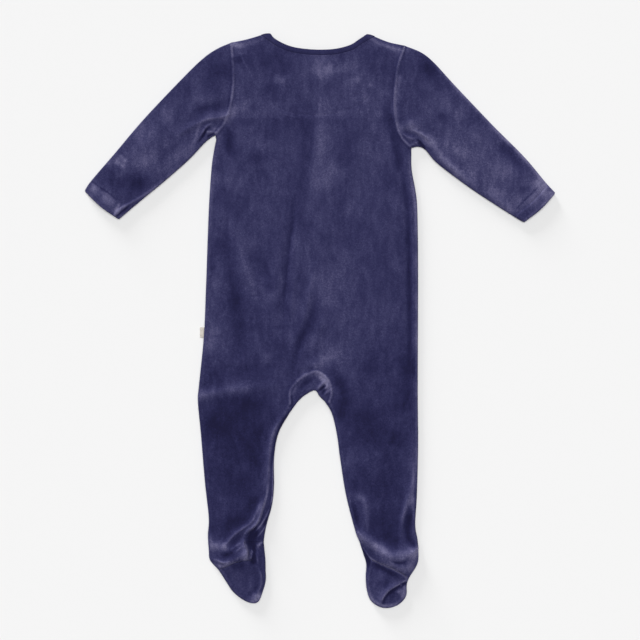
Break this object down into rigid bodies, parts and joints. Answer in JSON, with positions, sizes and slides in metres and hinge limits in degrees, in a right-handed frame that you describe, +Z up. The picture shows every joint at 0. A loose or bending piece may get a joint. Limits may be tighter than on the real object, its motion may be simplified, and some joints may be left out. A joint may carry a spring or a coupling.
{
  "type": "onesie pajama",
  "caption": "Baby's footed velour sleepsuit with long sleeves, a bound neck and a studded front, laid flat on its front with its back up.",
  "frame": {"origin": "on the surface the garment lies on, in the middle of its own box", "axes": "+Z up from the surface, towards the garment's back; +Y towards the head; +X towards the wearer's right hand"},
  "size_m": [0.5654, 0.6907, 0.0088],
  "materials": {
    "velour": "soft short pile, navy",
    "binding": "matt jersey, darker navy",
    "tape": "matt",
    "stud": "satin",
    "label": "matt, blank"
  },
  "bodies": {
    "root": {"back": "velour", "front_left": "velour", "front_right": "velour", "gusset": "velour", "sleeve_left": "velour", "sleeve_right": "velour", "foot_upper_left": "velour", "foot_upper_right": "velour", "sole_left": "velour", "sole_right": "velour", "neck_binding": "binding", "placket_strip": "tape", "stud_1": "stud", "stud_2": "stud", "stud_3": "stud", "stud_4": "stud", "stud_5": "stud", "stud_6": "stud", "stud_7": "stud", "label": "label"}
  },
  "joints": []
}
